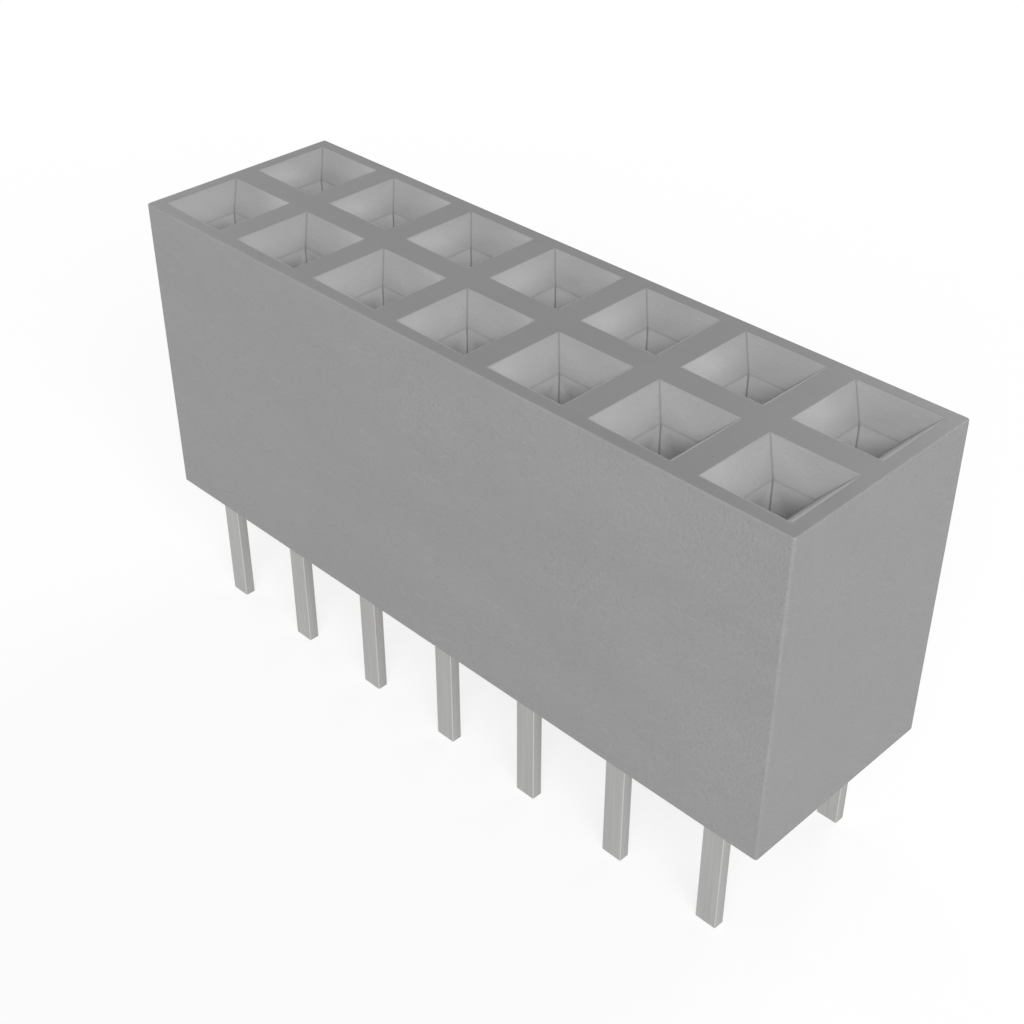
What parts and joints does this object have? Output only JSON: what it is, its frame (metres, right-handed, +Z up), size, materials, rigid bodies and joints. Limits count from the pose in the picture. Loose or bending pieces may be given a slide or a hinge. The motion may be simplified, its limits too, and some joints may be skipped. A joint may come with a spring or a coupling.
{
  "type": "socket strip",
  "caption": "Straight dual row socket strip for a circuit board, with square lead-in funnels, pinching spring contacts and flat solder tails.",
  "frame": {"origin": "middle of the housing's underside, the face that sits on the board", "axes": "+X along the rows of sockets, +Y across the strip, +Z up out of the board towards the sockets; the solder tails reach below zero"},
  "size_m": [0.0178, 0.005, 0.0104],
  "materials": {
    "housing": "moulded glass filled thermoplastic, mid grey, matt",
    "contact": "copper alloy strip with matt tin plating, pale gold on the spring arms where they touch the pin"
  },
  "bodies": {
    "root": {"housing": "housing", "contact_a1": "contact", "contact_a2": "contact", "contact_a3": "contact", "contact_a4": "contact", "contact_a5": "contact", "contact_a6": "contact", "contact_a7": "contact", "contact_b1": "contact", "contact_b2": "contact", "contact_b3": "contact", "contact_b4": "contact", "contact_b5": "contact", "contact_b6": "contact", "contact_b7": "contact"}
  },
  "joints": []
}
